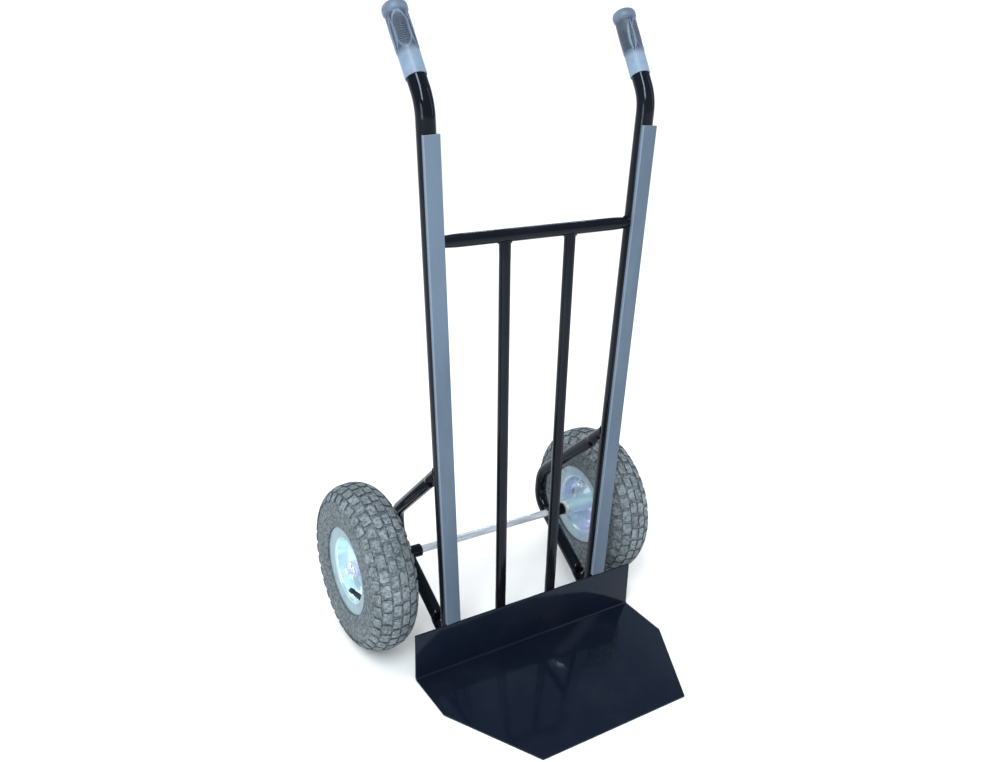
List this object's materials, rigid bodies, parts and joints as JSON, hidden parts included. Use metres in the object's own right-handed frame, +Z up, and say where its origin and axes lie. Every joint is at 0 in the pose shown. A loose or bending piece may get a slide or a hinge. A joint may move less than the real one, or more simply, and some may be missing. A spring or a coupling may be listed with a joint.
{
  "type": "hand truck",
  "caption": "Upright hand truck with a folded sheet toe plate, splayed tube rails, bent-back grips and pneumatic wheels on a through axle.",
  "frame": {"origin": "centre of the toe plate's underside, on the floor", "axes": "+Z up along the truck, +Y to the back where the wheels are, +X across"},
  "size_m": [0.5102, 0.491, 0.9381],
  "materials": {
    "plate_paint": "gloss paint",
    "frame_paint": "gloss paint",
    "strip_plastic": "matte",
    "grip_rubber": "satin moulded",
    "axle_steel": "bright zinc",
    "tyre_rubber": "dusty",
    "tube_rubber": "matte",
    "rim_zinc": "blue zinc",
    "bush_plastic": "natural",
    "bolt_zinc": "bright zinc",
    "valve_rubber": "satin",
    "valve_plastic": "satin",
    "cage_plastic": "moulded",
    "roller_steel": "ground"
  },
  "bodies": {
    "frame": {"toe_plate": "plate_paint", "rail_left": "frame_paint", "rail_right": "frame_paint", "wear_strip_left": "strip_plastic", "wear_strip_right": "strip_plastic", "crossbar": "frame_paint", "inner_bar_left": "frame_paint", "inner_bar_right": "frame_paint", "wheel_bracket_left": "frame_paint", "wheel_bracket_right": "frame_paint", "axle_sleeve_left": "frame_paint", "axle_sleeve_right": "frame_paint", "grip_left": "grip_rubber", "grip_right": "grip_rubber"},
    "axle": {"axle": "axle_steel", "inner_washers": "axle_steel", "outer_washers": "axle_steel", "split_pins": "axle_steel"},
    "wheel_left": {"tyre_left": "tyre_rubber", "inner_tube_left": "tube_rubber", "rim_outer_left": "rim_zinc", "rim_inner_left": "rim_zinc", "hub_tube_left": "rim_zinc", "hub_bushes_left": "bush_plastic", "rim_bolts_left": "bolt_zinc", "rim_nuts_left": "bolt_zinc", "valve_stem_left": "valve_rubber", "valve_cap_left": "valve_plastic"},
    "roller_set_left": {"roller_cage_left": "cage_plastic", "rollers_left": "roller_steel"},
    "wheel_right": {"tyre_right": "tyre_rubber", "inner_tube_right": "tube_rubber", "rim_outer_right": "rim_zinc", "rim_inner_right": "rim_zinc", "hub_tube_right": "rim_zinc", "hub_bushes_right": "bush_plastic", "rim_bolts_right": "bolt_zinc", "rim_nuts_right": "bolt_zinc", "valve_stem_right": "valve_rubber", "valve_cap_right": "valve_plastic"},
    "roller_set_right": {"roller_cage_right": "cage_plastic", "rollers_right": "roller_steel"}
  },
  "joints": [
    {"name": "axle_turn", "type": "hinge", "parent": "frame", "child": "axle", "pos_m": [0, 0.2475, 0.13], "axis": [1, 0, 0], "continuous": true},
    {"name": "wheel_left_turn", "type": "hinge", "parent": "axle", "child": "wheel_left", "pos_m": [-0.2161, 0.2475, 0.13], "axis": [1, 0, 0], "continuous": true},
    {"name": "rollers_left_turn", "type": "hinge", "parent": "axle", "child": "roller_set_left", "pos_m": [-0.2161, 0.2475, 0.13], "axis": [1, 0, 0], "continuous": true},
    {"name": "wheel_right_turn", "type": "hinge", "parent": "axle", "child": "wheel_right", "pos_m": [0.2161, 0.2475, 0.13], "axis": [1, 0, 0], "continuous": true},
    {"name": "rollers_right_turn", "type": "hinge", "parent": "axle", "child": "roller_set_right", "pos_m": [0.2161, 0.2475, 0.13], "axis": [1, 0, 0], "continuous": true}
  ],
  "couplings": [
    {"joint": "rollers_left_turn", "follows": "wheel_left_turn", "ratio": 0.625},
    {"joint": "rollers_right_turn", "follows": "wheel_right_turn", "ratio": 0.625}
  ]
}
